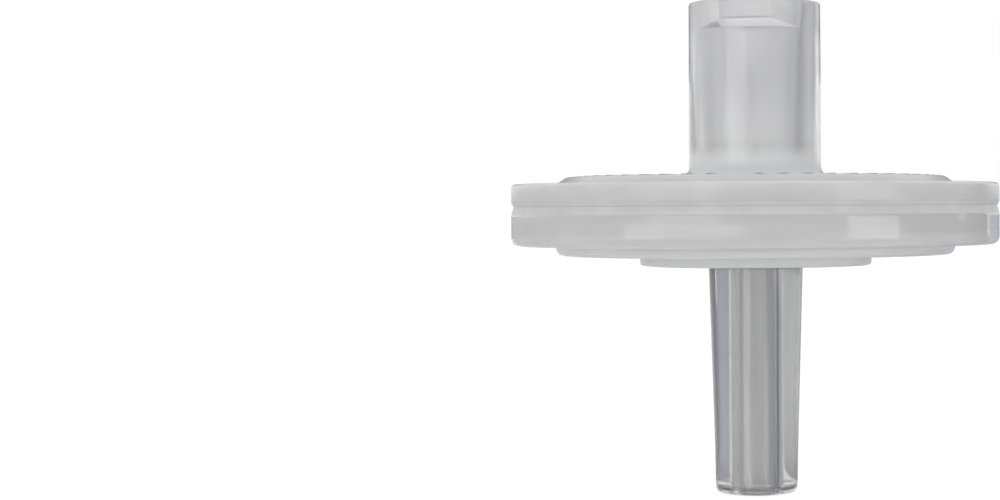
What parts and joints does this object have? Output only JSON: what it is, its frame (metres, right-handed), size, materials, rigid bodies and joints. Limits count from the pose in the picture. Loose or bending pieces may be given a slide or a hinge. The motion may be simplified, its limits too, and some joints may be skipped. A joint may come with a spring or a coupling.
{
  "type": "syringe filter",
  "caption": "Round welded filter disc with a female Luer lock hub above, a tapered male Luer tip below and a membrane clamped inside.",
  "frame": {"origin": "centre of the flat end of the Luer tip, which is the lowest point", "axes": "+Z along the flow axis, from the outlet tip up to the inlet hub; the two Luer lock lugs point along +Y and -Y"},
  "size_m": [0.024, 0.024, 0.0241],
  "materials": {
    "housing_plastic": "natural polypropylene, moulded, milky and see-through, satin",
    "membrane": "white porous membrane, matt"
  },
  "bodies": {
    "root": {"inlet_housing": "housing_plastic", "outlet_housing": "housing_plastic", "membrane": "membrane"}
  },
  "joints": []
}
